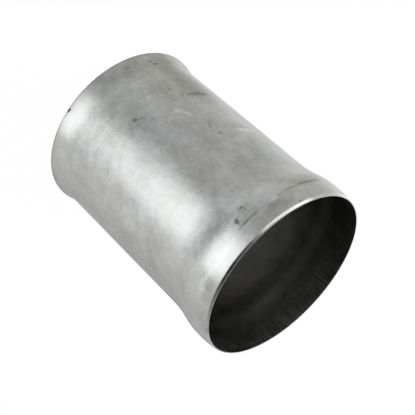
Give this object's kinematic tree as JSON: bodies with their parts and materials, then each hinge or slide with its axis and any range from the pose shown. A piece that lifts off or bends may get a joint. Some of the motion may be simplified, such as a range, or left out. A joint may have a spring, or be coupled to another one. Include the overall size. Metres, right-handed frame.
{
  "type": "tube reducer insert",
  "caption": "Short round steel tube with a belled socket end, a smooth shoulder and a trumpet flare at the other end.",
  "frame": {"origin": "centre of the flared rim, on the plane the insert stands on", "axes": "+Z along the tube's axis, from the flared end up to the bell"},
  "size_m": [0.1071, 0.107, 0.143],
  "materials": {
    "mill_finish_steel": "dull mill finish, mottled grey, with handling marks"
  },
  "bodies": {
    "root": {"reducer_insert": "mill_finish_steel"}
  },
  "joints": []
}
